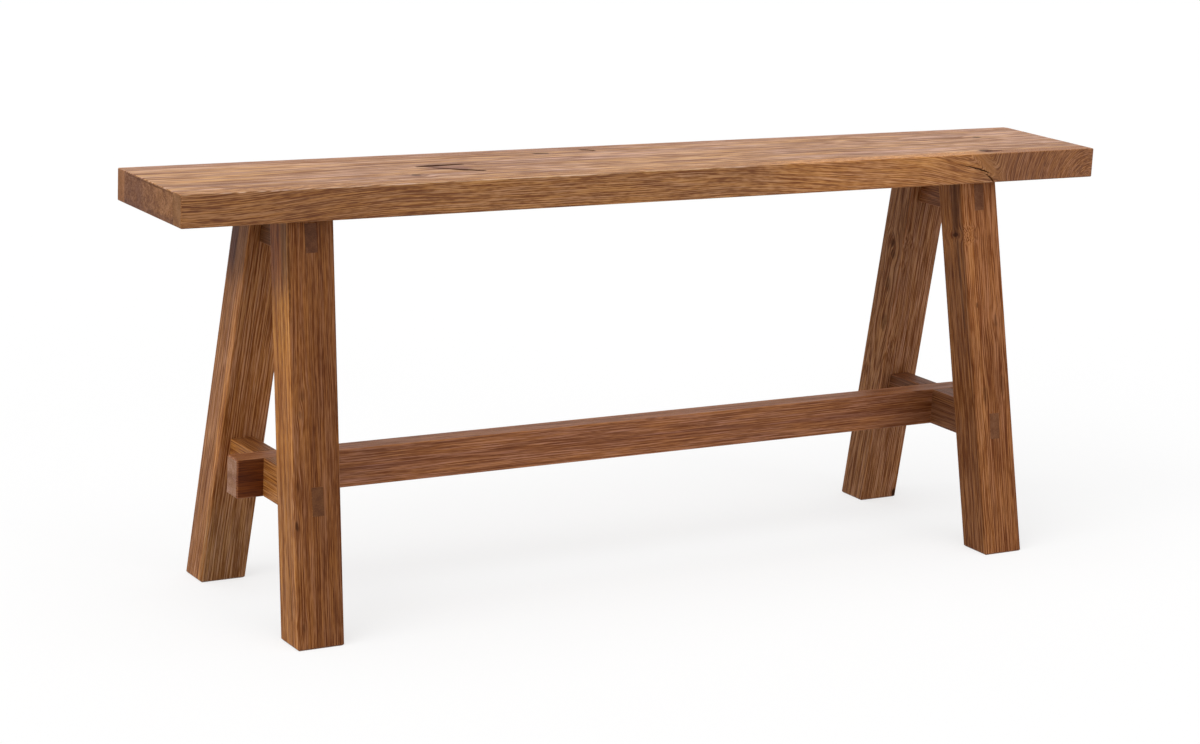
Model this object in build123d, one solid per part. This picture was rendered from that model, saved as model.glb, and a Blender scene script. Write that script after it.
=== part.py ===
from build123d import *
from math import cos
from math import atan2
import os

# Trestle bench in solid timber: a narrow plank seat on two splayed trestles, tied by one long stretcher.
# X runs along the seat, Y across it and Z up.
# The origin is on the floor, midway between the four legs.
# All lengths are in millimetres.

# Seat, set a little forward on its trestles
seat_length = 1190.0
seat_width = 172.0
seat_thickness = 35.0
seat_height = 480.0
seat_forward_offset = 4.0
edge_board_thickness = 20.0
seat_arris_radius = 1.6

# Legs, each cut from one stick and leaning outwards both ways
leg_width = 54.0
leg_depth = 43.0
leg_foot_spread = 85.5
leg_foot_outset = 15.5
leg_arris_radius = 2.0
foot_chamfer = 2.0

# How far the seat reaches past the tops of the legs: at each end, and on average at front and rear
end_overhang = 128.5
side_overhang = 21.2

# Rails of each trestle, with one tenon right through each leg
rail_thickness = 27.0
rail_height = 43.0
rail_arris_radius = 1.2
lower_rail_clearance = 131.0
tenon_thickness = 13.5
tenon_shoulder = 6.5
tenon_proud = 0.4

# Stretcher, halved into both lower rails, with a stub left past each of them
stretcher_thickness = 27.0
stretcher_stub = 31.0
stretcher_end_chamfer = 1.5
halving_share = 0.5

# Screws that hold the seat down, driven up through each top rail
screw_length = 50.0
screw_diameter = 5.0
screw_head_diameter = 10.0
screw_head_height = 3.2
screw_tip_length = 6.0
screw_recess_depth = 15.0
screw_clearance = 0.3
screw_head_clearance = 1.0
screw_spacing_share = 0.5

# How far a cutting tool runs past the timber that it cuts
overrun = 5.0

# Heights
seat_underside = seat_height - seat_thickness
top_rail_middle = seat_underside - rail_height / 2
lower_rail_middle = lower_rail_clearance + rail_height / 2
halving_level = lower_rail_clearance + rail_height * halving_share

# Lean of the legs across the bench, and what their depth measures on a level cut
leg_lean = atan2(leg_foot_spread, seat_underside)
leg_level_depth = leg_depth / cos(leg_lean)

# Distances of the legs' faces from the middle of the bench
leg_outer_top = seat_width / 2 - side_overhang
leg_inner_top = leg_outer_top - leg_level_depth
leg_outer_foot = leg_outer_top + leg_foot_spread
leg_inner_foot = leg_inner_top + leg_foot_spread
leg_middle_top_x = seat_length / 2 - end_overhang - leg_width / 2
leg_middle_foot_x = leg_middle_top_x + leg_foot_outset


def leg_middle_x(height):
    """Distance of a leg's middle from the centre of the bench, at a height above the floor."""
    drop_share = (seat_underside - height) / seat_underside
    return leg_middle_top_x + leg_foot_outset * drop_share


top_rail_x = leg_middle_x(top_rail_middle)
lower_rail_x = leg_middle_x(lower_rail_middle)
stretcher_half_length = lower_rail_x + rail_thickness / 2 + stretcher_stub


def write_node(name, shape):
    """Write one sub-part under its own name."""
    shape.label = name
    export_step(shape, f"parts/{name}.step")


def trestle_wedge(half_width_top, half_width_foot):
    """Space between two opposite leaning planes, from the floor up to the seat."""
    outline = Polygon(
        (-half_width_foot, 0),
        (half_width_foot, 0),
        (half_width_top, seat_underside),
        (-half_width_top, seat_underside),
        align=None,
    )
    return extrude(Plane.YZ * outline, amount=seat_length / 2, both=True)


def eased_bar(length, width, height, radius, along):
    """Straight bar with its four long edges eased."""
    bar = Box(length, width, height)
    return fillet(bar.edges().filter_by(along), radius)


def leg_stick():
    """Rear right leg before its mortises, level at the seat and at the floor."""
    lean = Vector(-leg_foot_outset, -leg_foot_spread, seat_underside)
    foot_middle_y = leg_inner_foot + leg_level_depth / 2
    section = Pos(leg_middle_foot_x, foot_middle_y) * Rectangle(leg_width, leg_level_depth)
    stick = extrude(section, amount=lean.length, dir=lean.normalized())
    sole = stick.faces().sort_by(Axis.Z)[0]
    stick = chamfer(sole.edges(), foot_chamfer)
    arrises = stick.edges().filter_by(Axis((0, 0, 0), lean))
    return fillet(arrises, leg_arris_radius)


def rail_with_tenons(rail_x, rail_middle):
    """Cross rail: its shoulders follow the legs' inner faces, and its tenons end at the outer ones."""
    place = Pos(rail_x, 0, rail_middle)
    body = place * eased_bar(rail_thickness, 2 * leg_outer_foot, rail_height, rail_arris_radius, Axis.Y)
    tongue = place * Box(tenon_thickness, 2 * leg_outer_foot, rail_height - 2 * tenon_shoulder)
    between_shoulders = trestle_wedge(leg_inner_top, leg_inner_foot)
    between_ends = trestle_wedge(leg_outer_top + tenon_proud, leg_outer_foot + tenon_proud)
    return (body & between_shoulders) + (tongue & between_ends)


def seat_screw():
    """Wood screw, point up, with the flat seat of its head on the plane z = 0."""
    head_radius = screw_head_diameter / 2
    shank_radius = screw_diameter / 2
    profile = Polygon(
        (0, -screw_head_height),
        (head_radius, -screw_head_height),
        (head_radius, 0),
        (shank_radius, 0),
        (shank_radius, screw_length - screw_tip_length),
        (0, screw_length),
        align=None,
    )
    return revolve(Plane.XZ * profile, axis=Axis.Z)


# Seat: one blank with eased edges, parted into a core and two edge boards
seat_place = Pos(0, -seat_forward_offset, seat_height - seat_thickness / 2)
seat_blank = seat_place * Box(seat_length, seat_width, seat_thickness)
seat_blank = fillet(seat_blank.edges(), seat_arris_radius)
core_width = seat_width - 2 * edge_board_thickness
core_space = seat_place * Box(seat_length, core_width, seat_thickness)
edge_board_middle = (core_width + edge_board_thickness) / 2
edge_space = Box(seat_length, edge_board_thickness, seat_thickness)
seat_core = seat_blank & core_space
seat_rear_edge = seat_blank & (seat_place * Pos(0, edge_board_middle) * edge_space)
seat_front_edge = seat_blank & (seat_place * Pos(0, -edge_board_middle) * edge_space)

# One trestle, on the right: two legs, a rail against the seat and a rail low down
top_rail = rail_with_tenons(top_rail_x, top_rail_middle)
lower_rail = rail_with_tenons(lower_rail_x, lower_rail_middle)
rear_leg = leg_stick() - top_rail - lower_rail
front_leg = mirror(rear_leg, about=Plane.XZ)

# Stretcher and lower rails, each cut away to half its height where they cross
stretcher = Pos(0, 0, lower_rail_middle) * Box(2 * stretcher_half_length, stretcher_thickness, rail_height)
stretcher_ends = stretcher.faces().filter_by(Axis.X)
stretcher = chamfer(stretcher_ends.edges(), stretcher_end_chamfer)
stretcher = fillet(stretcher.edges().filter_by(Axis.X), rail_arris_radius)
rail_lap_height = halving_level - lower_rail_clearance
stretcher_lap_height = rail_height - rail_lap_height
stretcher_slot = Pos(lower_rail_x, 0, halving_level - (rail_lap_height + overrun) / 2) * Box(
    rail_thickness, stretcher_thickness + 2 * overrun, rail_lap_height + overrun
)
rail_slot = Pos(lower_rail_x, 0, halving_level + (stretcher_lap_height + overrun) / 2) * Box(
    rail_thickness + 2 * overrun, stretcher_thickness, stretcher_lap_height + overrun
)
lower_rail = lower_rail - rail_slot
stretcher = stretcher - stretcher_slot - mirror(stretcher_slot, about=Plane.YZ)

# Screws stand in recesses in the top rails and end inside the seat
screw_head_level = seat_underside - rail_height + screw_recess_depth
screw_reach = screw_head_level + screw_length + screw_clearance
screw_y = leg_inner_top * screw_spacing_share
screw_bore_height = screw_reach - screw_head_level
recess = Pos(0, 0, screw_head_level - (screw_recess_depth + overrun) / 2) * Cylinder(
    screw_head_diameter / 2 + screw_head_clearance, screw_recess_depth + overrun
)
screw_bore = Pos(0, 0, screw_head_level + screw_bore_height / 2) * Cylinder(
    screw_diameter / 2 + screw_clearance, screw_bore_height
)
screw_places = [Pos(top_rail_x, screw_y), Pos(top_rail_x, -screw_y)]
for place in screw_places:
    top_rail = top_rail - place * recess - place * screw_bore
    seat_core = seat_core - place * screw_bore - mirror(place * screw_bore, about=Plane.YZ)
right_screws = [place * Pos(0, 0, screw_head_level) * seat_screw() for place in screw_places]
left_screws = [mirror(screw, about=Plane.YZ) for screw in right_screws]

# Files, one for each sub-part
os.makedirs("parts", exist_ok=True)
write_node("seat_core", seat_core)
write_node("seat_front_edge", seat_front_edge)
write_node("seat_rear_edge", seat_rear_edge)
write_node("stretcher", stretcher)
trestle = {
    "front_leg": front_leg,
    "rear_leg": rear_leg,
    "top_rail": top_rail,
    "lower_rail": lower_rail,
}
for piece_name, piece in trestle.items():
    write_node(f"right_{piece_name}", piece)
    write_node(f"left_{piece_name}", mirror(piece, about=Plane.YZ))
write_node("seat_screws", Compound(right_screws + left_screws))
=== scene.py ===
import math
import random

import bmesh
import bpy
from mathutils import Matrix, Vector


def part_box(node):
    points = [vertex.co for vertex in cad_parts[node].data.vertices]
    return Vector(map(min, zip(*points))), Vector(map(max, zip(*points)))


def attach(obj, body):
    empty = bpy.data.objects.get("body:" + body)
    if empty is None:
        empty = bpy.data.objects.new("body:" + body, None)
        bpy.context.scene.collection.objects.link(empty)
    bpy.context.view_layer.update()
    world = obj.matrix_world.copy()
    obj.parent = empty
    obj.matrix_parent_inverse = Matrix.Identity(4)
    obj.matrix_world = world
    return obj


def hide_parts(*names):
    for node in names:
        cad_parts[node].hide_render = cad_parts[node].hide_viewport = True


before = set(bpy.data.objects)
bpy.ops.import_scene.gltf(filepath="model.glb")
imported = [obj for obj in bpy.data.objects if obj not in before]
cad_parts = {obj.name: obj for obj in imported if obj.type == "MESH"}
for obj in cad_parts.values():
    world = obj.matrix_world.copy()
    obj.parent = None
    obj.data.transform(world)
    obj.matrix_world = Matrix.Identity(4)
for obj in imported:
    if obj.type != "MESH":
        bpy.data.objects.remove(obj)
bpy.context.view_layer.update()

# Trestle bench in oiled timber.
# Places and sizes are in metres. Those of grain, knots, marks and cuts are in millimetres.

MM = 0.001
BUMP_STRENGTH = 0.5


# Colours

def linear(rgb):
    """Colour written as 0 to 255 in sRGB, turned into the linear value that a shader takes."""
    out = []
    for level in rgb:
        share = level / 255
        out.append(share / 12.92 if share <= 0.04045 else ((share + 0.055) / 1.055) ** 2.4)
    return (*out, 1.0)


# Small helper for node trees

class Graph:
    """Node tree of one material or world, with short calls for the nodes used here."""

    def __init__(self, owner):
        self.owner = owner
        owner.use_nodes = True
        self.tree = owner.node_tree
        self.tree.nodes.clear()

    def node(self, kind, **settings):
        made = self.tree.nodes.new(kind)
        for key, value in settings.items():
            setattr(made, key, value)
        return made

    def put(self, socket, value):
        """Link another node's output to the socket, or set a plain value on it."""
        if isinstance(value, bpy.types.NodeSocket):
            self.tree.links.new(value, socket)
        else:
            socket.default_value = value

    def math(self, operation, *values, clamp=False):
        made = self.node("ShaderNodeMath", operation=operation, use_clamp=clamp)
        for socket, value in zip(made.inputs, values):
            self.put(socket, value)
        return made.outputs[0]

    def times(self, first, second):
        return self.math("MULTIPLY", first, second)

    def vector(self, operation, *values):
        made = self.node("ShaderNodeVectorMath", operation=operation)
        for socket, value in zip(made.inputs, values):
            self.put(socket, value)
        scalar = operation in ("DOT_PRODUCT", "LENGTH", "DISTANCE")
        return made.outputs["Value" if scalar else "Vector"]

    def join(self, *values):
        """Three numbers as one vector."""
        made = self.node("ShaderNodeCombineXYZ")
        for socket, value in zip(made.inputs, values):
            self.put(socket, value)
        return made.outputs[0]

    def add(self, *values):
        total = values[0]
        for value in values[1:]:
            total = self.math("ADD", total, value)
        return total

    def noise(self, place, detail=2.0, roughness=0.5):
        made = self.node("ShaderNodeTexNoise")
        self.put(made.inputs["Vector"], place)
        made.inputs["Scale"].default_value = 1.0
        made.inputs["Detail"].default_value = detail
        made.inputs["Roughness"].default_value = roughness
        return made.outputs["Fac"]

    def step(self, value, low, high, low_out=0.0, high_out=1.0):
        """Smooth change from low_out to high_out while the value goes from low to high."""
        made = self.node("ShaderNodeMapRange", interpolation_type="SMOOTHSTEP")
        for name, level in (("Value", value), ("From Min", low), ("From Max", high),
                            ("To Min", low_out), ("To Max", high_out)):
            self.put(made.inputs[name], level)
        return made.outputs[0]

    def mix(self, share, first, second, blend="MIX"):
        """Second colour over the first, by the share."""
        made = self.node("ShaderNodeMix", data_type="RGBA", blend_type=blend)
        self.put(made.inputs["Factor"], share)
        self.put(made.inputs[6], first)
        self.put(made.inputs[7], second)
        return made.outputs[2]

    def ramp(self, value, stops):
        """Colour along stops of (place, colour)."""
        made = self.node("ShaderNodeValToRGB")
        points = made.color_ramp.elements
        while len(points) < len(stops):
            points.new(0.5)
        for point, (place, colour) in zip(points, stops):
            point.position = place
            point.color = colour if len(colour) == 4 else (*colour, 1.0)
        self.put(made.inputs[0], value)
        return made.outputs[0]

    def seen_directly(self):
        """1 for rays of the camera, of reflections and through glass, and 0 for light on the object."""
        rays = self.node("ShaderNodeLightPath")
        seen = self.math("MAXIMUM", rays.outputs["Is Camera Ray"], rays.outputs["Is Glossy Ray"])
        return self.math("MAXIMUM", seen, rays.outputs["Is Transmission Ray"])

    def surface(self, shader, kind="ShaderNodeOutputMaterial"):
        """Send the shader to the output."""
        output = self.node(kind)
        self.tree.links.new(shader.outputs[0], output.inputs["Surface"])
        return self.owner

    def finish(self, colour, roughness, height, metallic=0.0, specular=0.35, bump_depth=0.3 * MM):
        """Principled surface with a bump from the height."""
        shader = self.node("ShaderNodeBsdfPrincipled")
        self.put(shader.inputs["Base Color"], colour)
        self.put(shader.inputs["Roughness"], roughness)
        shader.inputs["Metallic"].default_value = metallic
        self.put(shader.inputs["Specular IOR Level"], specular)
        bump = self.node("ShaderNodeBump")
        bump.inputs["Strength"].default_value = BUMP_STRENGTH
        bump.inputs["Distance"].default_value = bump_depth
        self.put(bump.inputs["Height"], height)
        self.put(shader.inputs["Normal"], bump.outputs[0])
        return self.surface(shader)


# Wood

# Shades of the plain wood, as factors for red, green and blue
DARK_FIBRES = (0.50, 0.35, 0.17)
LIGHT_FIBRES = (1.50, 1.80, 2.70)
PORES = (0.34, 0.24, 0.15)
KNOT_SURROUND = (0.42, 0.28, 0.18)
RUBBED = (1.75, 1.95, 2.3)

# Flaws, as sRGB colours
KNOT = (48, 26, 16)
STAIN = (66, 36, 24)

# Darkness through a year ring, as (share of the ring, darkness), and the level that changes no tone
RING_PROFILE = ((0.0, 0.9), (0.10, 1.0), (0.28, 0.35), (0.55, 0.0), (0.84, 0.22), (1.0, 0.9))
RING_NEUTRAL = 0.36

# Weight of a ring line: the lightest, the spread over it, and the range of slow changes along the board
RING_LIGHTEST = 0.4
RING_SPREAD = 0.9
RING_CHANGES = (0.35, 1.25)

# Waver of the rings, as a share of their spacing
RING_WAVER = 0.8

# Turns of the colour towards warmer and cooler wood, at a hue of 1
WARMER = (0.04, 0.0, -0.20)
COOLER = (-0.03, 0.0, 0.30)

# Facing along the grain at which end grain begins, and at which a face is all end grain
END_FACING = (0.75, 0.95)

# Share of each kind of grain that end grain does without
END_LOSS = {"rings": 0.85, "streaks": 0.72, "turns": 0.8, "pores": 0.7}

# Knots, in their own half sizes: the rim from outside to full, and how strong the shade round a knot
# and its pull on the fibres are and how fast they fall off
KNOT_RIM = (1.1, 0.5)
KNOT_SHADE = 0.5
KNOT_SHADE_FALL = 0.45
KNOT_PULL = 0.65
KNOT_PULL_FALL = 0.16

# Share of the ring lines lost inside a whorl and halfway across its border, and the part of that loss
# that the streaks have too
LOSS_IN_WHORL = 0.38
LOSS_AT_BORDER = 0.85
STREAKS_PART_OF_LOSS = 0.9

# Marks, in their own half widths: the rim from outside to full
MARK_RIM = (1.4, 0.4)

# How far the border of a patch wanders at most, and how far a rubbed edge reaches in from the corner
PATCH_WANDER = 8.0
RUBBED_WIDTH = 3.0

# Rise of the surface with lighter fibres, and depth of pores and flaws, as shares of the bump
FIBRE_RISE = 0.8
PORE_DEPTH = 0.9
FLAW_DEPTH = 0.7

# Drift of the roughness, and what end grain adds to it
ROUGHNESS_DRIFT = 0.20
END_ROUGHNESS = 0.12


def scaled(colour, factors):
    """Colour with each of its three levels times its own factor."""
    return (*(level * factor for level, factor in zip(colour, factors)), 1.0)


class Wood(Graph):
    """Solid wood, so that the grain runs on round every corner and shows as end grain on cut ends.

    u runs along the stick's grain, a along side and b square to both, from origin, in millimetres.
    half is half the section along a and b, base is the sRGB colour of the plain wood, and texture
    widens the streaks.
    """

    def __init__(self, name, origin, grain, side, half, base, seed, texture=1.0):
        super().__init__(bpy.data.materials.new(name))
        self.half, self.seed, self.texture = half, seed, texture
        self.plain = linear(base)
        grain = Vector(grain).normalized()
        side = (Vector(side) - grain * grain.dot(side)).normalized()
        third = grain.cross(side)
        coords = self.node("ShaderNodeTexCoord")
        place = self.vector("SUBTRACT", coords.outputs["Object"], tuple(origin))
        self.value = {}
        for letter, way in (("u", grain), ("a", side), ("b", third)):
            self.value[letter] = self.vector("DOT_PRODUCT", place, tuple(way / MM))
            self.value["facing " + letter] = self.vector("DOT_PRODUCT", coords.outputs["Normal"], tuple(way))
        self.local = self.join(self.value["u"], self.value["a"], self.value["b"])
        self.bent = self.local
        self.end_mask = self.step(self.math("ABSOLUTE", self.value["facing u"]), *END_FACING)
        self.knot_core = self.knot_halo = self.mark_share = 0.0

    def field(self, length, width, detail=2.0, rough=0.5, shift=0.0, bent=True):
        """Noise with grains of that length and width. Its shift sets it apart from the other fields."""
        seed = self.seed
        moved = self.vector("MULTIPLY_ADD", self.bent if bent else self.local,
                            (1 / length, 1 / width, 1 / width),
                            (seed + shift, seed * 1.7 - shift, seed * 0.6 + shift))
        return self.noise(moved, detail, rough)

    def centred(self, value, amount):
        """Noise turned into a swing of that size round zero."""
        return self.math("MULTIPLY_ADD", value, amount, -amount / 2)

    def fade(self, mask, drop):
        """1 where the mask is 0, less by drop where it is 1."""
        return self.math("MULTIPLY_ADD", mask, -drop, 1.0)

    def bend_grain(self, bend, sweeps, knots):
        """Slow waves, climbs along the board, and knots that the fibres go round.

        sweeps: (from u, to u, rise along a). knots: (u, a, b, length, width, darkness).
        """
        wave_a = self.add(self.value["a"], self.centred(self.field(380, 90, 1.0), bend * 2),
                          self.centred(self.field(90, 26, 1.0, shift=3), bend * 0.5))
        wave_b = self.add(self.value["b"], self.centred(self.field(420, 90, 1.0, shift=5), bend * 2))
        self.waves = wave_a, wave_b
        for from_u, to_u, rise in sweeps:
            wave_a = self.add(wave_a, self.step(self.value["u"], from_u, to_u, 0.0, rise))
        ragged = self.centred(self.field(6, 3, 1.0, shift=8), 1.0)
        for knot_u, knot_a, knot_b, length, width, darkness in knots:
            offset = self.vector("MULTIPLY_ADD", self.local, (1 / length, 1 / width, 1 / width),
                                 (-knot_u / length, -knot_a / width, -knot_b / width))
            span = self.vector("LENGTH", offset)
            square = self.times(span, span)
            core = self.step(self.add(span, ragged), *KNOT_RIM, 0.0, darkness)
            shade = self.math("EXPONENT", self.times(square, -KNOT_SHADE_FALL))
            halo = self.times(shade, darkness)
            self.knot_core = self.math("MAXIMUM", self.knot_core, core)
            self.knot_halo = self.math("MAXIMUM", self.knot_halo, halo)
            pull = self.math("EXPONENT", self.times(square, -KNOT_PULL_FALL))
            keep = self.fade(pull, KNOT_PULL)
            wave_a = self.math("MULTIPLY_ADD", self.math("SUBTRACT", wave_a, knot_a), keep, knot_a)
            wave_b = self.math("MULTIPLY_ADD", self.math("SUBTRACT", wave_b, knot_b), keep, knot_b)
        self.bent = self.join(self.value["u"], wave_a, wave_b)

    def turn_into_whorl(self, centre, flattening, border, lean, begins, ends):
        """Rings of a branch round centre (u, a), for u past a leaning border, with calmer grain there."""
        u = self.value["u"]
        wave_a, wave_b = self.waves
        across = self.times(self.math("SUBTRACT", centre[0], u), flattening)
        rise = self.math("SUBTRACT", wave_a, centre[1])
        square = self.math("MULTIPLY_ADD", across, across, self.times(rise, rise))
        radius = self.math("SQRT", square)
        arc = self.math("MULTIPLY_ADD", self.math("ARCTAN2", rise, across), border, begins)
        turned = self.join(arc, self.math("SUBTRACT", border, radius), wave_b)
        edge = self.add(self.math("MULTIPLY_ADD", self.value["a"], lean, u),
                        self.centred(self.field(20, 6, 1.0, shift=6), 8.0))
        share = self.step(edge, begins, ends)
        swap = self.node("ShaderNodeMix", data_type="VECTOR")
        for socket, value in ((0, share), (4, self.bent), (5, turned)):
            self.put(swap.inputs[socket], value)
        self.bent = swap.outputs[1]
        at_border = self.times(share, self.math("SUBTRACT", 1.0, share))
        self.calm = self.math("MAXIMUM", self.times(share, LOSS_IN_WHORL),
                              self.times(at_border, 4 * LOSS_AT_BORDER))

    def ring_lines(self, pith, spacing):
        """Dark late wood of the year rings round pith (a, b), no two rings alike: line and weight."""
        from_pith = self.vector("MULTIPLY_ADD", self.bent, (0, 1, 1), (0, -pith[0], -pith[1]))
        reach = self.vector("LENGTH", from_pith)
        waver = self.centred(self.field(90, 11, 2.0, shift=7), spacing * RING_WAVER)
        phase = self.math("DIVIDE", self.add(reach, waver), spacing)
        pick = self.node("ShaderNodeTexWhiteNoise", noise_dimensions="1D")
        self.put(pick.inputs["W"], self.math("ADD", self.math("FLOOR", phase), self.seed))
        weight = self.math("MULTIPLY_ADD", pick.outputs["Value"], RING_SPREAD, RING_LIGHTEST)
        changes = self.step(self.field(150, 12, 2.0, shift=9), 0.3, 0.6, *RING_CHANGES)
        weight = self.times(weight, changes)
        weight = self.times(weight, self.fade(self.end_mask, END_LOSS["rings"]))
        stops = [(place, (level, level, level)) for place, level in RING_PROFILE]
        line = self.ramp(self.math("FRACT", phase), stops)
        return line, weight

    def streaks(self, strength, clouds, dashes):
        """Fibre streaks in three sizes, short dashes and slow drifts of tone, and cut fibres on the ends."""
        wide = self.texture
        coarse = self.field(110 * wide, 2.2 * wide, 2.0, shift=11)
        fine = self.field(75 * wide, 1.2 * wide, 1.0, shift=17)
        hair = self.field(48 * wide, 0.62 * wide, 0.0, shift=19)
        drift = self.field(130 * wide, 14 * wide, 2.0, shift=23)
        short = self.field(12 * wide, 1.5 * wide, 1.0, shift=47)
        swing = self.add(self.centred(coarse, 0.5 * strength), self.centred(fine, 1.6 * strength),
                         self.centred(hair, 2.2 * strength), self.centred(short, dashes),
                         self.centred(drift, 0.8 * clouds))
        cut_fibres = self.add(self.centred(self.field(2.2, 1.3, 1.0, shift=37), 0.5),
                              self.centred(self.field(15.0, 9.0, 2.0, shift=39), 1.1))
        swing = self.times(swing, self.fade(self.end_mask, END_LOSS["streaks"]))
        return self.add(swing, self.times(cut_fibres, self.end_mask)), drift

    def base_colour(self, tone, hue):
        """Colour along the tone, from dark to light, with slow turns between warmer and cooler."""
        dark = scaled(self.plain, DARK_FIBRES)
        light = scaled(self.plain, LIGHT_FIBRES)
        colour = self.ramp(tone, [(0.0, dark), (0.5, self.plain), (1.0, light)])
        wide = self.texture
        turn = self.step(self.field(80 * wide, 4.5 * wide, 3.0, 0.65, shift=29), 0.34, 0.66)
        turn = self.times(self.math("SUBTRACT", turn, 0.5), self.fade(self.end_mask, END_LOSS["turns"]))
        turn = self.add(0.5, turn)
        warm = (*(1 + hue * change for change in WARMER), 1.0)
        cool = (*(1 + hue * change for change in COOLER), 1.0)
        return self.mix(1.0, colour, self.mix(turn, warm, cool), "MULTIPLY")

    def patch(self, colour, limits, tint):
        """Tint in soft limits (place or facing, from, to): sapwood, heartwood, old stain, painted light and
        shade.
        """
        share = 1.0
        for name, low, high in limits:
            value = self.value[name]
            if not name.startswith("facing"):
                swing = min(PATCH_WANDER, 1.5 * abs(high - low))
                wander = self.field(130, 9, 2.0, shift=31, bent=False)
                value = self.add(value, self.centred(wander, swing))
            share = self.times(share, self.step(value, low, high))
        return self.mix(share, colour, self.mix(1.0, colour, (*tint, 1.0), "MULTIPLY"))

    def pores(self, line, flecks):
        """Open pores: small dark dashes, strongest on the ring lines, and a few long ones."""
        small = self.step(self.field(22, 0.75, 1.0, shift=41), 0.56, 0.70)
        small = self.times(small, self.math("MULTIPLY_ADD", line, 0.35, 0.15))
        wide = self.texture
        long_ones = self.step(self.field(34 * wide, 1.5 * wide, 1.0, shift=43), 0.60, 0.72, 0.0, flecks)
        return self.times(self.math("MAXIMUM", small, long_ones), self.fade(self.end_mask, END_LOSS["pores"]))

    def mark(self, colour, points, mark_colour, amount):
        """A stain or a dark fleck along points of (u, a, b, half width)."""
        nearest = None
        ragged = self.centred(self.field(7, 2.5, 2.0, shift=53), 2.0)
        for first, second in zip(points, points[1:]):
            run = Vector(second[:3]) - Vector(first[:3])
            from_first = self.vector("SUBTRACT", self.local, first[:3])
            reach = self.vector("DOT_PRODUCT", from_first, tuple(run))
            along = self.math("DIVIDE", reach, run.length_squared, clamp=True)
            on_line = self.vector("MULTIPLY", tuple(run), self.join(along, along, along))
            width = self.math("MULTIPLY_ADD", along, second[3] - first[3], first[3])
            off_line = self.add(self.vector("DISTANCE", from_first, on_line), ragged)
            share = self.math("DIVIDE", off_line, width)
            nearest = share if nearest is None else self.math("MINIMUM", nearest, share)
        mark = self.step(nearest, *MARK_RIM, 0.0, amount)
        self.mark_share = self.math("MAXIMUM", self.mark_share, mark)
        return self.mix(mark, colour, linear(mark_colour))

    def rub_edges(self, colour, wear):
        """Long edges rubbed a little lighter."""
        half_a, half_b = self.half
        near_a = self.step(self.math("ABSOLUTE", self.value["a"]), half_a - RUBBED_WIDTH, half_a)
        near_b = self.step(self.math("ABSOLUTE", self.value["b"]), half_b - RUBBED_WIDTH, half_b)
        worn = self.step(self.field(24, 5, 2.0, shift=61, bent=False), 0.35, 0.62)
        share = self.times(self.times(near_a, near_b), worn)
        return self.mix(self.times(share, wear), colour, scaled(self.plain, RUBBED))


def wood(name, origin, grain, side, half, base, seed, pith=(5, -180), ring=2.6, bend=9.0, lines=0.4,
         streaks=1.0, dashes=0.3, clouds=1.0, flecks=0.4, hue=1.0, texture=1.0, knots=(), marks=(),
         patches=(), sweeps=(), whorl=None, quiet=None, end_tint=(0.72, 0.70, 0.71), roughness=0.54,
         specular=0.22, wear=0.30):
    """One stick's own material. See Wood and its methods for what most values set.

    quiet: a stretch with less grain, as ((begins at u, full at u), (ends at u, full until u), drop).
    """
    w = Wood(name, origin, grain, side, half, base, seed, texture)
    w.bend_grain(bend, sweeps, knots)
    if whorl is not None:
        w.turn_into_whorl(**whorl)
    line, weight = w.ring_lines(pith, ring)
    swing, drift = w.streaks(streaks, clouds, dashes)
    if whorl is not None:
        weight = w.times(weight, w.fade(w.calm, 1.0))
        swing = w.times(swing, w.fade(w.calm, STREAKS_PART_OF_LOSS))
    if quiet is not None:
        begins, ends, drop = quiet
        still = w.times(w.step(w.value["u"], *begins), w.step(w.value["u"], *ends))
        loud = w.fade(still, drop)
        weight = w.times(weight, loud)
        swing = w.times(swing, loud)
    rings = w.times(w.math("SUBTRACT", line, RING_NEUTRAL), w.times(weight, -lines))
    tone = w.add(0.5, rings, swing)
    colour = w.base_colour(tone, hue)
    for limits, tint in patches:
        colour = w.patch(colour, limits, tint)
    pores = w.pores(line, flecks)
    colour = w.mix(pores, colour, scaled(w.plain, PORES))
    colour = w.mix(w.end_mask, colour, w.mix(1.0, colour, (*end_tint, 1.0), "MULTIPLY"))
    if knots:
        colour = w.mix(w.times(w.knot_halo, KNOT_SHADE), colour, scaled(w.plain, KNOT_SURROUND))
        colour = w.mix(w.knot_core, colour, linear(KNOT))
    for points, mark_colour, amount in marks:
        colour = w.mark(colour, points, mark_colour, amount)
    colour = w.rub_edges(colour, wear)
    flaws = w.math("MAXIMUM", w.knot_core, w.mark_share)
    height = w.add(w.times(tone, FIBRE_RISE), w.times(pores, -PORE_DEPTH), w.times(flaws, -FLAW_DEPTH))
    rough = w.add(roughness, w.centred(drift, ROUGHNESS_DRIFT), w.times(w.end_mask, END_ROUGHNESS))
    shine = w.times(w.fade(flaws, 1.0), specular) if knots or marks else specular
    return w.finish(colour, rough, height, specular=shine)


def middle_of(node):
    """Middle of a CAD node's box."""
    low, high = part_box(node)
    return (low + high) / 2


def dress(node, material):
    """Give a CAD node its material in every slot."""
    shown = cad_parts[node]
    if not shown.material_slots:
        shown.data.materials.append(material)
    for slot in shown.material_slots:
        slot.material = material


X = (1.0, 0.0, 0.0)
Y = (0.0, 1.0, 0.0)
Z = (0.0, 0.0, 1.0)

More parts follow.
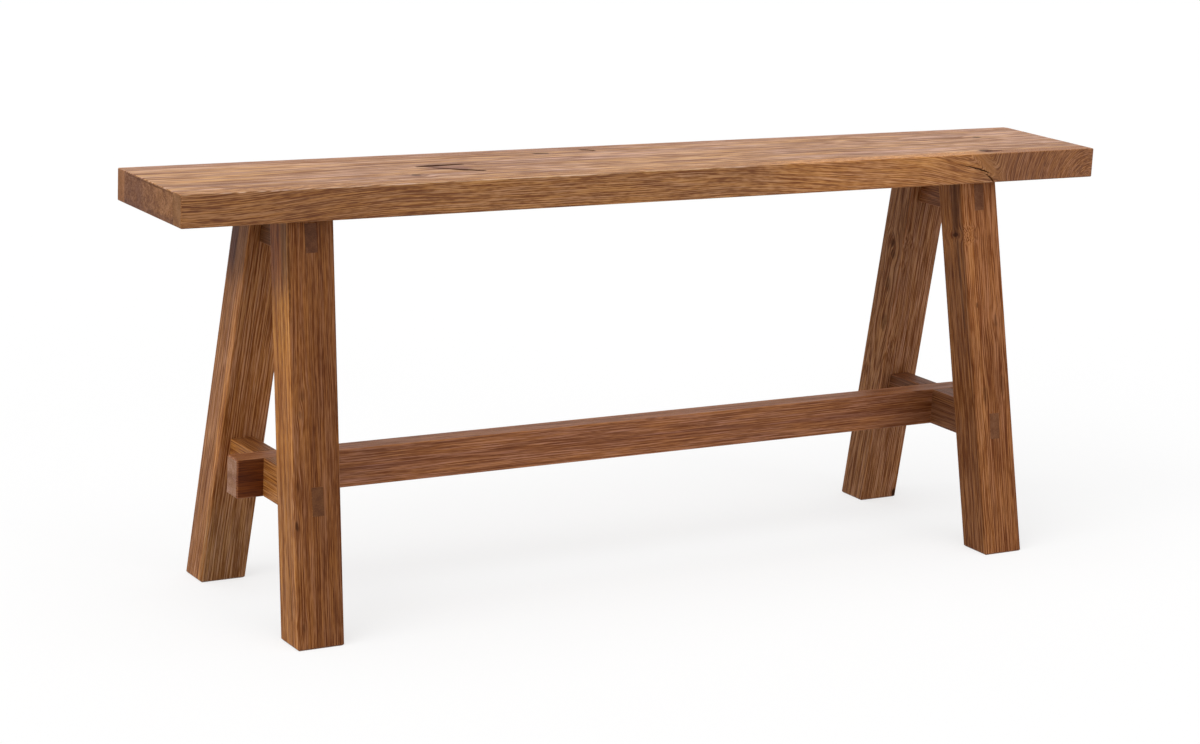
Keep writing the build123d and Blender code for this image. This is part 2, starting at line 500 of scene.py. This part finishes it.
# Seat: in the core b points up, in the edge boards a points up and b to the front.
# The limits of a patch are (place or facing, from none, to full).
TOP = 17.5
LEFT_END = -595
CORE_HALF = (66, TOP)
BOARD_HALF = (TOP, 10)
ON_LEFT_END = ("facing u", -0.5, -0.9)
ON_CORE_TOP = ("facing b", 0.5, 0.9)
# Top of an edge board, where painted sheen and top light go
ON_BOARD_TOP = ("facing a", 0.5, 0.9)
ON_BOARD_FRONT = ("facing b", 0.3, 0.6)
# Rounded top front edge of an edge board, where a painted highlight goes
ON_BOARD_EDGE = (("facing a", 0.25, 0.5), ("facing b", 0.1, 0.35))

# Core of the seat
dress("seat_core", wood(
    "seat_core_wood", middle_of("seat_core"), X, Y, CORE_HALF, (170, 121, 75), 3.1,
    pith=(45, -150), ring=3.4, bend=10, lines=0.34, streaks=2.0, dashes=2.4, clouds=2.7, flecks=0.5,
    hue=1.3, texture=2.3, specular=0.26, wear=0.0,
    knots=[(-306, -40, TOP, 6, 6, 0.7), (501, 24, TOP, 7, 5, 0.75), (445, -67, TOP, 12, 9, 0.8)],
    marks=[([(-266, -2, TOP, 8), (-234, -10, TOP, 11)], (136, 96, 84), 0.7),
           ([(-280, 7.0, TOP, 3.0), (-264, 8.1, TOP, 6.5), (-224, 10.0, TOP, 3.0)], STAIN, 1.0),
           ([(-266, -4.6, TOP, 2.6), (-236, -24, TOP, 5.8), (-220, -34, TOP, 3.2)], STAIN, 1.0),
           ([(-106, 53, TOP, 4.0), (-93, 51.5, TOP, 3.6)], (78, 50, 32), 0.9),
           ([(-41, 65, TOP, 3.4), (-29, 56, TOP, 3.4)], (66, 38, 26), 1.0),
           ([(LEFT_END, 56, 15.0, 0.3), (LEFT_END, -10, 15.3, 0.9), (LEFT_END, -62, 15.4, 0.4)],
            (80, 52, 38), 0.65),
           ([(LEFT_END, 30, 4, 6), (LEFT_END, 26, -4, 7)], (104, 72, 58), 0.45),
           ([(LEFT_END, -65.4, 14, 0.7), (LEFT_END, -65.4, -16, 0.9)], (84, 56, 42), 0.7)],
    end_tint=(0.50, 0.405, 0.31),
    patches=[((ON_LEFT_END, ("a", 8, 26)), (0.78, 0.74, 0.84)),
             ((ON_LEFT_END, ("b", -9, -14)), (0.74, 0.70, 0.78)),
             ((ON_LEFT_END, ("a", -10, -34)), (1.10, 1.12, 1.05)),
             ((ON_CORE_TOP, ("u", -250, -420)), (1.0, 0.98, 0.92))]))

# Rear edge board of the seat
dress("seat_rear_edge", wood(
    "seat_rear_edge_wood", middle_of("seat_rear_edge"), X, Z, BOARD_HALF, (150, 101, 60), 9.2,
    pith=(50, -110), ring=2.6, bend=8, lines=0.32, streaks=1.4, hue=0.8, specular=0.26, wear=0.0,
    end_tint=(0.76, 0.68, 0.56),
    # Painted light: the top face's tint is painted sheen and top light
    patches=[((ON_BOARD_TOP,), (1.25, 1.35, 1.6))]))

# Front edge board of the seat, with a branch whorl and a knot near its right end
dress("seat_front_edge", wood(
    "seat_front_edge_wood", middle_of("seat_front_edge"), X, Z, BOARD_HALF, (140, 91, 45), 7.4,
    pith=(-110, 30), ring=2.2, bend=4, lines=0.55, streaks=1.2, dashes=1.9, clouds=0.55, flecks=0.35,
    hue=0.8, specular=0.28, wear=0.0,
    end_tint=(0.80, 0.81, 0.80),
    sweeps=[(-590, -330, -16), (60, 420, 26), (330, 450, 16)],
    quiet=((40, 200), (450, 400), 0.35),
    whorl=dict(centre=(594, -25), flattening=0.9, border=140, lean=1.0, begins=422, ends=456),
    knots=[(445, TOP, -9, 12, 9, 0.8)],
    marks=[([(444, TOP, -8, 5), (454, TOP, -10, 8), (466, TOP, -10, 4)], (80, 34, 22), 1.0)],
    # Painted light: sheen and top light on the top face, and a painted highlight along the top front edge
    patches=[((ON_BOARD_TOP,), (1.5, 1.62, 1.75)),
             ((*ON_BOARD_EDGE, ("u", 200, 60)), (1.15, 1.5, 2.6)),
             ((("u", 60, 220), ("u", 450, 400)), (1.32, 1.31, 1.26)),
             ((("u", 440, 470),), (0.80, 0.72, 0.74)),
             ((("u", 350, 380), ON_BOARD_FRONT), (0.91, 0.89, 0.90)),
             ((("u", 505, 550), ON_BOARD_FRONT), (1.12, 1.14, 1.10)),
             ((("u", -250, -420), ON_BOARD_FRONT), (0.83, 0.77, 0.66))]))


# Two flaws of the seat cut into copies of its edge boards, in millimetres

FLAW_SEED = 5
CUT_OVERRUN = 1.0

# Crack: how far its points wander, the range of its width, its least share of the depth, and the steps
# of its curve from point to point
CRACK_WANDER = 0.25
CRACK_WIDTH_RANGE = (0.75, 1.15)
CRACK_LEAST_DEPTH = 0.3
CRACK_CURVE_STEPS = 4

# Strands of the crack: depth, and points as (x, height over the board's middle, half width)
CRACK_STRANDS = {
    "upper_crack": (8.0, ((391.3, 6.4, 0.20), (400.4, 4.2, 0.60), (414.1, 1.0, 1.05),
                          (429.5, -3.3, 1.0), (438.9, -6.6, 0.20))),
    "lower_crack": (12.0, ((428.3, -5.7, 0.20), (434.6, -8.8, 0.80), (440.2, -12.9, 1.30),
                           (444.5, -17.3, 1.20), (445.6, -19.5, 1.10))),
}

# Broken corner: its reach along x and y, the rows and columns of its rough face, how far the face
# is uneven, and how far the cutter goes past the edges, as a share of the face, and past the corner
BREAK_ALONG_X = 5.5
BREAK_ALONG_Y = 9.0
BREAK_ROWS = 7
BREAK_COLUMNS = 5
BREAK_SLACK = 0.35
BREAK_PAST_EDGES = 0.25
BREAK_PAST_CORNER = 4


class Cutter:
    """Closed mesh that is taken away from a copy of a CAD node."""

    def __init__(self, name):
        self.mesh = bmesh.new()
        self.name = name
        self.rows = []

    def row(self, points):
        """Next closed section, given in millimetres."""
        self.rows.append([self.mesh.verts.new([value * MM for value in point]) for point in points])

    def finished(self):
        """Join the sections and close both ends."""
        for first, second in zip(self.rows, self.rows[1:]):
            count = len(first)
            for index in range(count):
                after = (index + 1) % count
                self.mesh.faces.new((first[index], first[after], second[after], second[index]))
        self.mesh.faces.new(self.rows[0])
        self.mesh.faces.new(self.rows[-1])
        bmesh.ops.recalc_face_normals(self.mesh, faces=self.mesh.faces)
        data = bpy.data.meshes.new(self.name)
        self.mesh.to_mesh(data)
        self.mesh.free()
        made = bpy.data.objects.new(self.name, data)
        bpy.context.scene.collection.objects.link(made)
        return made


def cut_copy(node, name, cutters):
    """Shown piece in place of a CAD node, with the cutters taken away from it."""
    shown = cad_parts[node]
    piece = bpy.data.objects.new(name, shown.data.copy())
    bpy.context.scene.collection.objects.link(piece)
    piece.matrix_world = shown.matrix_world.copy()
    for cutter in cutters:
        taken = piece.modifiers.new(cutter.name, "BOOLEAN")
        taken.operation = "DIFFERENCE"
        taken.solver = "EXACT"
        taken.object = cutter
    bpy.context.view_layer.update()
    evaluated = piece.evaluated_get(bpy.context.evaluated_depsgraph_get())
    data = bpy.data.meshes.new_from_object(evaluated)
    piece.modifiers.clear()
    piece.data = data
    for cutter in cutters:
        bpy.data.objects.remove(cutter)
    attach(piece, "root")
    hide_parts(node)


def crack_cutter(name, strand, face_y, depth, draw):
    """Thin wedge along a strand of (x, z, half width), open at the board's face, shallow where narrow."""
    cutter = Cutter(name)
    for index, (x, z, half_width) in enumerate(strand):
        before, after = strand[max(index - 1, 0)], strand[min(index + 1, len(strand) - 1)]
        run = Vector((after[0] - before[0], after[1] - before[1])).normalized()
        x += draw.uniform(-CRACK_WANDER, CRACK_WANDER)
        z += draw.uniform(-CRACK_WANDER, CRACK_WANDER)
        across = Vector((-run.y, run.x)) * half_width * draw.uniform(*CRACK_WIDTH_RANGE)
        cutter.row([(x + across.x, face_y - CUT_OVERRUN, z + across.y),
                    (x - across.x, face_y - CUT_OVERRUN, z - across.y),
                    (x, face_y + depth * min(1.0, CRACK_LEAST_DEPTH + half_width), z)])
    return cutter.finished()


def smoothed(points, steps):
    """Points of a curve through the given ones."""
    out = []
    for index in range(len(points) - 1):
        p0, p1 = points[max(index - 1, 0)], points[index]
        p2, p3 = points[index + 1], points[min(index + 2, len(points) - 1)]
        for step in range(steps):
            t = step / steps
            out.append(tuple(0.5 * (2 * b + (c - a) * t + (2 * a - 5 * b + 4 * c - d) * t ** 2
                                    + (3 * b - a - 3 * c + d) * t ** 3)
                             for a, b, c, d in zip(p0, p1, p2, p3)))
    return out + [points[-1]]


def corner_cutter(name, low, high, draw):
    """Rough slab that takes away the upright corner of a box at its highest x and y."""
    cutter = Cutter(name)
    corner = high / MM
    for index in range(BREAK_ROWS):
        share = index / (BREAK_ROWS - 1)
        z = low.z / MM - CUT_OVERRUN + share * (high.z - low.z + 2 * CUT_OVERRUN * MM) / MM
        section = [(corner.x + BREAK_PAST_CORNER, corner.y + BREAK_PAST_CORNER, z)]
        for step in range(BREAK_COLUMNS):
            t = -BREAK_PAST_EDGES + (1 + 2 * BREAK_PAST_EDGES) * step / (BREAK_COLUMNS - 1)
            slack = draw.uniform(-BREAK_SLACK, BREAK_SLACK)
            section.append((corner.x - BREAK_ALONG_X * t + slack,
                            corner.y - BREAK_ALONG_Y * (1 - t) + slack, z))
        cutter.row(section)
    return cutter.finished()


draw = random.Random(FLAW_SEED)
low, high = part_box("seat_front_edge")
front_y, board_middle_z = low.y / MM, (low + high).z / 2 / MM
strands = []
for name, (depth, strand) in CRACK_STRANDS.items():
    curve = smoothed(strand, CRACK_CURVE_STEPS)
    placed = [(x, board_middle_z + rise, half_width) for x, rise, half_width in curve]
    strands.append(crack_cutter(name, placed, front_y, depth, draw))
cut_copy("seat_front_edge", "seat_front_edge_cracked", strands)

low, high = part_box("seat_rear_edge")
corner = corner_cutter("broken_corner", low, high, draw)
cut_copy("seat_rear_edge", "seat_rear_edge_broken", [corner])

# Legs: a runs to +X and b to +Y, so their fronts are at the lowest b
LEG_HALF = (27, 21.5)
LEFT_SIDE = -LEG_HALF[0]
FRONT = -LEG_HALF[1]
LEG_SPECULAR = 0.10

# Width of a leg along the bench, and depth of its level cut across the bench
LEG_WIDTH = 2 * LEG_HALF[0] * MM
LEG_LEVEL_DEPTH = 43.79 * MM

# Left side of a leg or rail; a tint over the whole side is painted light and shade
OUTER_LEFT = ("facing a", -0.75, -0.97)
ON_FRONT = ("facing b", -0.5, -0.9)
# Rounded front-left edge of a leg, where painted shade goes
FRONT_LEFT_EDGE = (("facing a", -0.2, -0.5), ("facing b", -0.2, -0.5))


def leg_line(node):
    """Middle of a leg and the way its grain runs, from its foot to its top."""
    low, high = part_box(node)
    outwards_x = math.copysign(1, (low + high).x)
    outwards_y = math.copysign(1, (low + high).y)
    outset = (high.x - low.x) - LEG_WIDTH
    spread = (high.y - low.y) - LEG_LEVEL_DEPTH
    return (low + high) / 2, Vector((-outwards_x * outset, -outwards_y * spread, high.z - low.z))


LEG_LOOKS = {
    "left_front_leg": dict(
        base=(112, 66, 29.5), seed=12.3, pith=(-190, 40), ring=2.3, bend=2.5, lines=0.42, streaks=1.0,
        dashes=1.2, wear=0.1,
        knots=[(-58.7, -21.9, FRONT, 6, 2.5, 0.3), (-100.5, -24.2, FRONT, 6, 2.2, 0.7),
               (-207, -19.3, FRONT, 6, 2.5, 0.3), (36, -14.5, FRONT, 6, 3, 0.35),
               (16, -17.4, FRONT, 5, 2.5, 0.3)],
        marks=[([(218, -25.5, -22, 0.8), (170, -25.5, FRONT, 1.5), (120, -25.5, -21.0, 0.5)],
                (64, 36, 24), 0.7),
               ([(-141, LEFT_SIDE, -5, 0.8), (-170, LEFT_SIDE, -7, 1.5), (-200, LEFT_SIDE, -8.8, 0.8)],
                STAIN, 0.6)],
        # Painted light: the tint of the whole left side, lit from the left
        patches=[((OUTER_LEFT,), (1.80, 1.995, 1.85)),
                 ((OUTER_LEFT, ("u", 130, 180)), (0.82, 0.70, 0.72)),
                 ((OUTER_LEFT, ("u", 130, 180), ("b", -2, -8)), (0.81, 1.0, 1.07)),
                 ((OUTER_LEFT, ("u", 70, 100), ("u", 155, 130)), (1.2, 1.195, 0.92)),
                 ((OUTER_LEFT, ("u", -60, -20), ("u", 100, 70)), (1.15, 1.11, 0.91)),
                 ((("a", -4, -10), ("b", -10, -16)), (1.22, 1.28, 1.40))]),
    "left_rear_leg": dict(
        base=(150, 96, 51), seed=18.0, pith=(150, -150), ring=2.7, bend=4, lines=0.62, streaks=1.1,
        dashes=0.8, hue=0.7,
        # Painted light and shade: the tint of the whole left side
        patches=[((OUTER_LEFT,), (0.92, 0.955, 1.04)),
                 ((("u", -60, -170), ("b", -10, -16)), (0.765, 0.88, 1.03)),
                 ((OUTER_LEFT, ("u", 110, 165)), (0.73, 0.72, 0.68)),
                 ((OUTER_LEFT, ("u", 110, 165), ("b", 0, 5)), (0.465, 0.44, 0.79)),
                 ((OUTER_LEFT, ("u", 150, 130), ("b", -10, -13)), (1.35, 1.28, 0.98))]),
    "right_front_leg": dict(
        base=(127.5, 76.5, 37), seed=23.7, pith=(-190, 60), ring=2.5, bend=4, lines=0.68, streaks=1.6,
        dashes=1.2, clouds=1.2, hue=0.5,
        knots=[(158, LEFT_SIDE, -6, 3, 7, 0.8), (51, 12.0, FRONT, 9, 4, 0.3), (72, -13.8, FRONT, 4, 2, 0.5),
               (-36.7, -11, FRONT, 14, 3.5, 0.35), (-27.6, 15.7, FRONT, 14, 4, 0.35)],
        marks=[([(222, LEFT_SIDE, -12, 4), (190, LEFT_SIDE, -9, 5.5), (160, LEFT_SIDE, -7, 4)],
                (62, 36, 28), 0.6),
               ([(150, LEFT_SIDE, -9, 2.0), (80, LEFT_SIDE, -10.2, 2.0), (40, LEFT_SIDE, -12, 1.0)],
                (78, 54, 42), 0.5)],
        # Painted shade: the tint of the whole left side, shaded by the seat
        patches=[((OUTER_LEFT,), (0.84, 0.857, 0.82)),
                 ((ON_FRONT, ("u", 20, 60)), (1.14, 1.14, 1.16)),
                 ((OUTER_LEFT, ("u", 110, 150), ("b", -2, 3)), (1.39, 1.39, 1.19)),
                 # Painted shade along the rounded front-left edge
                 (FRONT_LEFT_EDGE, (0.55, 0.50, 0.45)),
                 ((("a", -10, -13), ON_FRONT), (1.18, 1.24, 1.26))]),
    "right_rear_leg": dict(
        base=(145, 94.5, 54), seed=29.4, pith=(160, -50), ring=2.6, bend=5, lines=0.78, streaks=1.9,
        dashes=1.2, clouds=1.6, hue=0.6,
        knots=[(125.5, LEFT_SIDE, -0.1, 7, 6, 0.5), (112.2, LEFT_SIDE, -3.7, 7, 6, 0.45),
               (72, LEFT_SIDE, -3.6, 12, 6, 0.4), (22.3, LEFT_SIDE, -8, 14, 6, 0.4),
               (-218, 24, FRONT, 8, 4, 0.95)],
        # Painted shade: the tint of the whole left side
        patches=[((OUTER_LEFT,), (0.84, 0.84, 0.77))]),
}
for node, looks in LEG_LOOKS.items():
    middle, line = leg_line(node)
    dress(node, wood(node + "_wood", middle, line, X, LEG_HALF, specular=LEG_SPECULAR, **looks))

# Rails: a runs to +X and b down. Each has its colour, painted light and shade of its left side, end tint
RAIL_HALF = (13.5, 21.5)
RAIL_LOOKS = {
    "left_top_rail": ((136, 84, 42), 0.52, (0.395, 0.35, 0.36)),
    "left_lower_rail": ((136, 84, 36), 1.22, (0.395, 0.35, 0.36)),
    "right_top_rail": ((130, 80, 44), 1.0, (0.62, 0.60, 0.60)),
    "right_lower_rail": ((116, 70, 38), 0.75, (0.74, 0.745, 0.68)),
}
FIRST_RAIL_SEED = 41.7
RAIL_SEED_STEP = 3.9
FIRST_RAIL_PITH = 60
RAIL_PITH_STEP = -30
# Share of blue in the painted light and shade of a rail's left side
BLUE_OF_PAINTED_SIDE_LIGHT = 0.9
for count, (node, (base, shade, end_tint)) in enumerate(RAIL_LOOKS.items()):
    seed = FIRST_RAIL_SEED + RAIL_SEED_STEP * count
    pith = (FIRST_RAIL_PITH + RAIL_PITH_STEP * count, 160)
    dress(node, wood(node + "_wood", middle_of(node), Y, X, RAIL_HALF, base, seed,
                     pith=pith, ring=2.7, bend=3, streaks=1.1, end_tint=end_tint,
                     # Painted light and shade over the whole left side
                     patches=[((OUTER_LEFT,), (shade, shade, shade * BLUE_OF_PAINTED_SIDE_LIGHT))]))

# Stretcher: a points to the rear and b up
# Top of the stretcher, where painted sheen and top light go
STRETCHER_TOP = ("facing b", 0.5, 0.9)
STRETCHER_FRONT = ("facing a", -0.5, -0.9)
dress("stretcher", wood(
    "stretcher_wood", middle_of("stretcher"), X, Y, RAIL_HALF, (137, 84, 46), 63.9,
    pith=(-20, -190), ring=2.8, bend=2, lines=0.36, streaks=0.9, dashes=0.7, clouds=0.6, flecks=0.3,
    # Painted sheen: the pale, cool tint of the ends
    end_tint=(1.1, 1.5, 2.4),
    patches=[((("b", -6, -2), ("b", 5, 1)), (0.80, 0.74, 0.74)),
             ((("u", 60, 220),), (0.92, 0.92, 0.92)),
             # Painted sheen and top light on the top face
             ((STRETCHER_TOP,), (1.25, 1.32, 1.35)),
             ((("u", 330, 380), STRETCHER_FRONT), (0.80, 0.76, 0.72)),
             # Painted shadow of the front left leg on the front of the stub
             ((("u", -452, -458), STRETCHER_FRONT), (0.44, 0.262, 0.07))]))

# Screws of zinc-plated steel, with specks in the plating
SPECKS_PER_METRE = 900
DARK_ZINC = (150, 146, 134)
LIGHT_ZINC = (190, 186, 172)
g = Graph(bpy.data.materials.new("zinc_screw_steel"))
coords = g.node("ShaderNodeTexCoord")
speck = g.noise(g.vector("MULTIPLY", coords.outputs["Object"], (SPECKS_PER_METRE,) * 3), 2.0)
dress("seat_screws", g.finish(
    g.ramp(speck, [(0.3, linear(DARK_ZINC)), (0.7, linear(LIGHT_ZINC))]),
    g.step(speck, 0.3, 0.7, 0.34, 0.5), speck, metallic=1.0, bump_depth=0.05 * MM))

# Floor: grey for the light that it throws back, and near white with a faint shadow where it is seen
FLOOR_SIZE = 60.0
FLOOR_FOR_LIGHT = (0.70, 0.70, 0.70, 1.0)
FLOOR_AS_SEEN = (0.96, 0.96, 0.96, 1.0)
FLOOR_GLOW = 0.7
bpy.ops.mesh.primitive_plane_add(size=FLOOR_SIZE, location=(0, 0, 0))
floor = bpy.context.object
floor.name = "floor"
g = Graph(bpy.data.materials.new("floor_paper"))
seen = g.seen_directly()
diffuse = g.node("ShaderNodeBsdfDiffuse")
g.put(diffuse.inputs["Color"], g.mix(seen, FLOOR_FOR_LIGHT, FLOOR_AS_SEEN))
white = g.node("ShaderNodeEmission")
faded = g.node("ShaderNodeMixShader")
g.put(faded.inputs[0], g.times(seen, FLOOR_GLOW))
g.put(faded.inputs[1], diffuse.outputs[0])
g.put(faded.inputs[2], white.outputs[0])
floor.data.materials.append(g.surface(faded))

# World: even soft light, and white where the camera, a reflection or glass shows it
WORLD_LIGHT = 0.42
WHITE = 1.0
world = bpy.data.worlds.new("studio")
bpy.context.scene.world = world
g = Graph(world)
strength = g.node("ShaderNodeMapRange")
strength.inputs["To Min"].default_value = WORLD_LIGHT
strength.inputs["To Max"].default_value = WHITE
g.put(strength.inputs["Value"], g.seen_directly())
background = g.node("ShaderNodeBackground")
background.inputs["Color"].default_value = (1.0, 1.0, 1.0, 1.0)
g.put(background.inputs["Strength"], strength.outputs[0])
g.surface(background, "ShaderNodeOutputWorld")


# Lamps: wide suns stand for soft boxes far away
def lamp(name, coming_from, strength, spread_degrees):
    """Sun lamp whose light comes from that direction."""
    data = bpy.data.lights.new(name, "SUN")
    data.energy = strength
    data.angle = math.radians(spread_degrees)
    made = bpy.data.objects.new(name, data)
    bpy.context.scene.collection.objects.link(made)
    made.rotation_mode = "QUATERNION"
    made.rotation_quaternion = Vector(coming_from).to_track_quat("Z", "Y")


lamp("top_light", coming_from=(-0.25, -0.15, 1.0), strength=1.2, spread_degrees=70)
lamp("left_light", coming_from=(-1.0, -0.35, 0.7), strength=1.25, spread_degrees=50)
lamp("front_light", coming_from=(0.28, -1.0, 0.2), strength=0.8, spread_degrees=40)

# Camera: a long lens, turned slightly, as the photograph was taken
CAMERA_PLACE = Vector((-1.72566, -2.76474, 0.99747))
CAMERA_AZIMUTH = math.radians(-31.4158)
CAMERA_ELEVATION = math.radians(13.3049)
CAMERA_ROLL = math.radians(2.7494)
CAMERA_LENS = 86.8995
CAMERA_SENSOR = 36.0
back = Vector((math.sin(CAMERA_AZIMUTH) * math.cos(CAMERA_ELEVATION),
               -math.cos(CAMERA_AZIMUTH) * math.cos(CAMERA_ELEVATION), math.sin(CAMERA_ELEVATION)))
level_right = Vector(Z).cross(back).normalized()
level_up = back.cross(level_right)
right = level_right * math.cos(CAMERA_ROLL) + level_up * math.sin(CAMERA_ROLL)
up = level_up * math.cos(CAMERA_ROLL) - level_right * math.sin(CAMERA_ROLL)
camera_data = bpy.data.cameras.new("camera")
camera_data.lens = CAMERA_LENS
camera_data.sensor_width = CAMERA_SENSOR
camera = bpy.data.objects.new("camera", camera_data)
bpy.context.scene.collection.objects.link(camera)
turn = Matrix((right, up, back)).transposed()
camera.matrix_world = Matrix.Translation(CAMERA_PLACE) @ turn.to_4x4()
bpy.context.scene.camera = camera
bpy.context.scene.view_settings.view_transform = "Standard"
